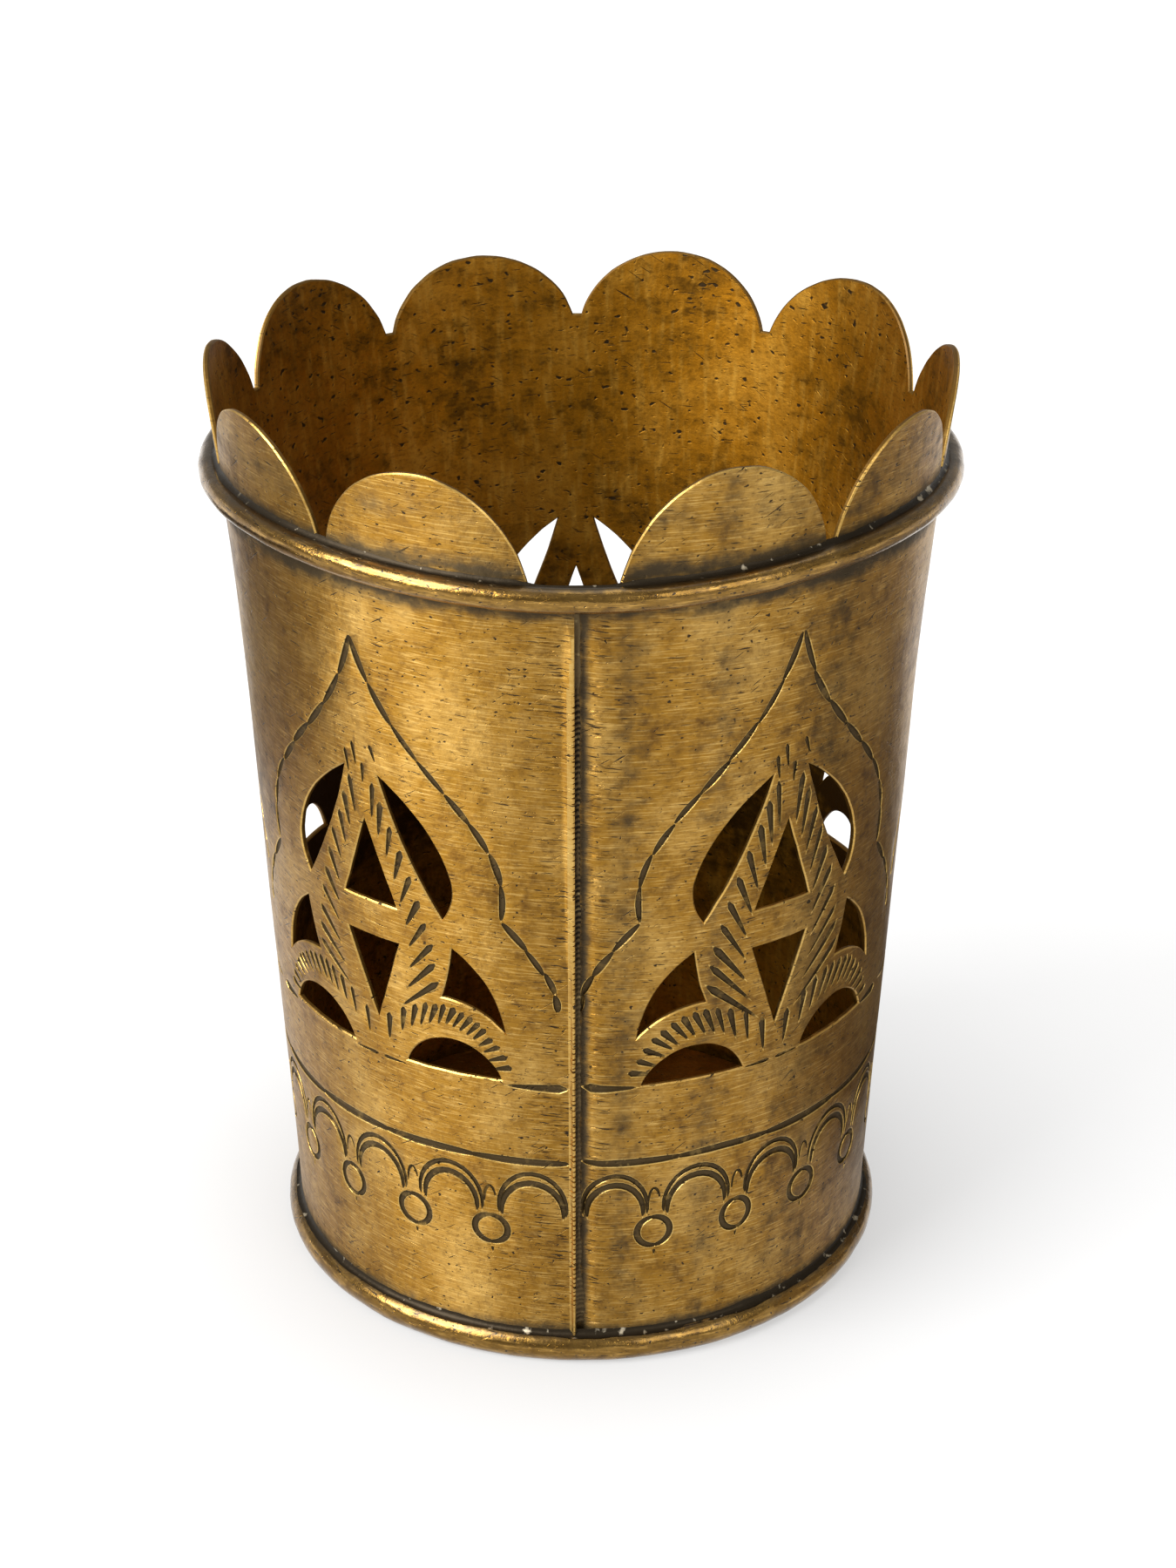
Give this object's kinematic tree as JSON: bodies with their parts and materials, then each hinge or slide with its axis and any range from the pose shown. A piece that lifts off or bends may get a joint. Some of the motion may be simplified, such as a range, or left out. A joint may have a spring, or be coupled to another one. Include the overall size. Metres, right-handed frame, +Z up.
{
  "type": "glass holder",
  "caption": "Hand-made brass holder for a drinking glass: a pierced, scalloped and lap-seamed sheet cup with a wire bead under the rim, a half-round foot ring and a soldered floor.",
  "frame": {"origin": "on the axis of the cup, at the height of the foot ring's flat underside", "axes": "+Z up along the axis of the cup, -Y towards the lap seam, +X to the right as seen from the seam"},
  "size_m": [0.0766, 0.0765, 0.0992],
  "materials": {
    "sheet_brass": "aged, brushed sheet with brown patina",
    "wire_brass": "worn bright drawn wire",
    "solder": "dull grey solder, darkened"
  },
  "bodies": {
    "root": {"wall_sheet": "sheet_brass", "rim_bead": "wire_brass", "foot_ring": "wire_brass", "floor_disc": "sheet_brass", "seam_solder": "solder", "rim_solder": "solder", "foot_solder": "solder", "floor_solder": "solder"}
  },
  "joints": []
}
